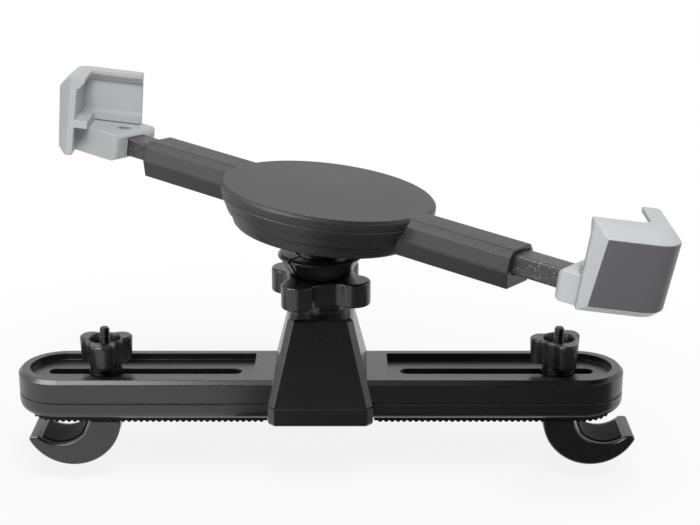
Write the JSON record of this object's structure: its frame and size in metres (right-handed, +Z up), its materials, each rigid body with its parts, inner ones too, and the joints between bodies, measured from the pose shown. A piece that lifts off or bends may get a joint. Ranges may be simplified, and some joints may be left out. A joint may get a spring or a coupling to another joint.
{
  "type": "headrest tablet mount",
  "caption": "Slotted bar with screw-clamped post hooks, a tower with a clamped ball joint, and a swivelling holder with sliding corner grips for a tablet.",
  "frame": {"origin": "middle of the tower's flat underside, between the hooks", "axes": "+X along the bar, +Z up the tower towards the holder"},
  "size_m": [0.2276, 0.1483, 0.135],
  "materials": {
    "black_plastic": "fine satin grain",
    "grained_plastic": "sparkly moulded grain",
    "black_nylon": "smooth satin gloss",
    "black_rubber": "matt",
    "grey_shell": "satin",
    "grey_panel": "satin",
    "black_steel": "black oxide",
    "steel": "zinc plated"
  },
  "bodies": {
    "base": {"bar_top_shell": "black_plastic", "bar_bottom_shell": "black_plastic", "shell_screws": "steel", "left_rib_strip": "black_rubber", "right_rib_strip": "black_rubber", "ball_socket": "black_nylon", "socket_screw": "steel"},
    "collar_nut": {"collar_nut": "black_nylon"},
    "ball": {"ball": "black_nylon"},
    "head": {"back_dish": "grained_plastic", "pivot_washer": "steel", "pivot_screw": "steel"},
    "holder": {"holder_rear_shell": "grained_plastic", "holder_front_shell": "grained_plastic", "holder_screws": "steel"},
    "left_arm": {"left_slider": "grained_plastic", "left_grip": "grey_shell", "left_grip_panel": "grey_panel", "left_grip_screw": "steel", "left_stop_pin": "steel"},
    "left_carriage": {"left_washer": "black_steel"},
    "left_knob": {"left_knob": "black_nylon", "left_knob_insert": "black_steel"},
    "left_hook": {"left_hook": "black_plastic", "left_hook_pad": "black_rubber", "left_stud": "black_steel"},
    "right_arm": {"right_slider": "grained_plastic", "right_grip": "grey_shell", "right_grip_panel": "grey_panel", "right_grip_screw": "steel", "right_stop_pin": "steel"},
    "right_carriage": {"right_washer": "black_steel"},
    "right_knob": {"right_knob": "black_nylon", "right_knob_insert": "black_steel"},
    "right_hook": {"right_hook": "black_plastic", "right_hook_pad": "black_rubber", "right_stud": "black_steel"}
  },
  "joints": [
    {"name": "collar_turn", "type": "hinge", "parent": "base", "child": "collar_nut", "pos_m": [0, 0, 0.0475], "axis": [0, 0, 1], "range_deg": [0, 360]},
    {"name": "ball_tilt_x", "type": "hinge", "parent": "base", "child": "ball", "pos_m": [0, 0, 0.056], "axis": [1, 0, 0], "range_deg": [-18, 18]},
    {"name": "ball_tilt_y", "type": "hinge", "parent": "ball", "child": "head", "pos_m": [0, 0, 0.056], "axis": [0, 1, 0], "range_deg": [-25, 11]},
    {"name": "holder_spin", "type": "hinge", "parent": "head", "child": "holder", "pos_m": [0, 0, 0.056], "axis": [0.1219, 0, 0.9925], "continuous": true},
    {"name": "right_arm_slide", "type": "slide", "parent": "holder", "child": "right_arm", "axis": [0.8277, -0.5519, -0.1016], "range_m": [-0.018, 0.028]},
    {"name": "left_arm_slide", "type": "slide", "parent": "holder", "child": "left_arm", "axis": [-0.8277, 0.5519, 0.1016], "range_m": [-0.011, 0.035]},
    {"name": "left_clamp_slide", "type": "slide", "parent": "base", "child": "left_carriage", "axis": [1, 0, 0], "range_m": [-0.0165, 0.044]},
    {"name": "left_knob_turn", "type": "hinge", "parent": "left_carriage", "child": "left_knob", "pos_m": [-0.0795, 0, 0.0142], "axis": [0, 0, 1], "range_deg": [0, 3600]},
    {"name": "left_hook_drop", "type": "slide", "parent": "left_carriage", "child": "left_hook", "axis": [0, 0, 1], "range_m": [-0.007, 0]},
    {"name": "right_clamp_slide", "type": "slide", "parent": "base", "child": "right_carriage", "axis": [1, 0, 0], "range_m": [-0.0521, 0.0084]},
    {"name": "right_knob_turn", "type": "hinge", "parent": "right_carriage", "child": "right_knob", "pos_m": [0.0876, 0, 0.0142], "axis": [0, 0, 1], "range_deg": [0, 3600]},
    {"name": "right_hook_drop", "type": "slide", "parent": "right_carriage", "child": "right_hook", "axis": [0, 0, 1], "range_m": [-0.007, 0]}
  ],
  "couplings": [
    {"joint": "left_knob_turn", "follows": "left_hook_drop", "rad_per_m": -8976},
    {"joint": "right_knob_turn", "follows": "right_hook_drop", "rad_per_m": -8976}
  ]
}
